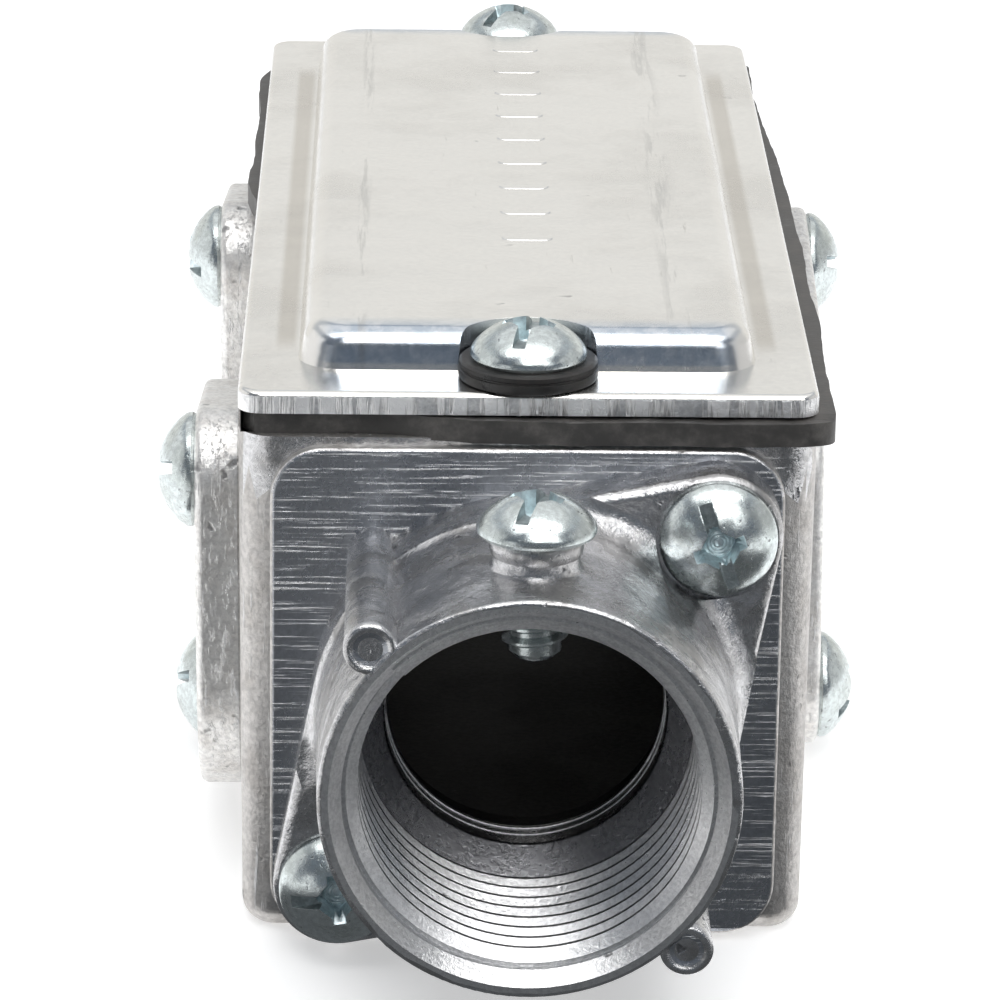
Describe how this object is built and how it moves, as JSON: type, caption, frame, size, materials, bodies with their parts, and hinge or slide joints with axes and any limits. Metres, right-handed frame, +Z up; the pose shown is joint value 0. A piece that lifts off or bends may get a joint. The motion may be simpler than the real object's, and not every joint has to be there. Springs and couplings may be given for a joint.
{
  "type": "conduit body",
  "caption": "Cast conduit body with a threaded hub bolted to each end, blank closures on its sides, and a raised cover screwed down over a rubber gasket.",
  "frame": {"origin": "centre of the underside of the object's bounding box, in the plane the body stands on", "axes": "+Z up towards the cover, +Y along the length from the front hub to the rear hub, +X to the right as seen by someone facing the front hub"},
  "size_m": [0.055, 0.1478, 0.0469],
  "materials": {
    "cast_metal": "bright die-cast, lightly tumbled",
    "cover_sheet": "satin stamped sheet",
    "zinc_steel": "bright zinc plate with a blue tint",
    "gasket_rubber": "matt black rubber sheet",
    "washer_rubber": "smooth black washer"
  },
  "bodies": {
    "conduit_body": {"body": "cast_metal", "cover": "cover_sheet", "cover_gasket": "gasket_rubber", "front_hub": "cast_metal", "rear_hub": "cast_metal", "left_front_closure": "cast_metal", "left_rear_closure": "cast_metal", "right_closure": "cast_metal", "front_hub_screw_upper": "zinc_steel", "front_hub_screw_lower": "zinc_steel", "rear_hub_screw_upper": "zinc_steel", "rear_hub_screw_lower": "zinc_steel", "left_front_closure_screw_upper": "zinc_steel", "left_front_closure_screw_lower": "zinc_steel", "left_rear_closure_screw_upper": "zinc_steel", "left_rear_closure_screw_lower": "zinc_steel", "right_closure_screw_upper": "zinc_steel", "right_closure_screw_lower": "zinc_steel", "cover_screw_front": "zinc_steel", "cover_screw_rear": "zinc_steel", "cover_washer_front": "washer_rubber", "cover_washer_rear": "washer_rubber"},
    "front_set_screw": {"front_set_screw": "zinc_steel"},
    "rear_set_screw": {"rear_set_screw": "zinc_steel"}
  },
  "joints": [
    {"name": "front_set_screw_travel", "type": "slide", "parent": "conduit_body", "child": "front_set_screw", "axis": [0, 0, 1], "range_m": [0, 0.0051]},
    {"name": "rear_set_screw_travel", "type": "slide", "parent": "conduit_body", "child": "rear_set_screw", "axis": [0, 0, 1], "range_m": [0, 0.0051]}
  ]
}
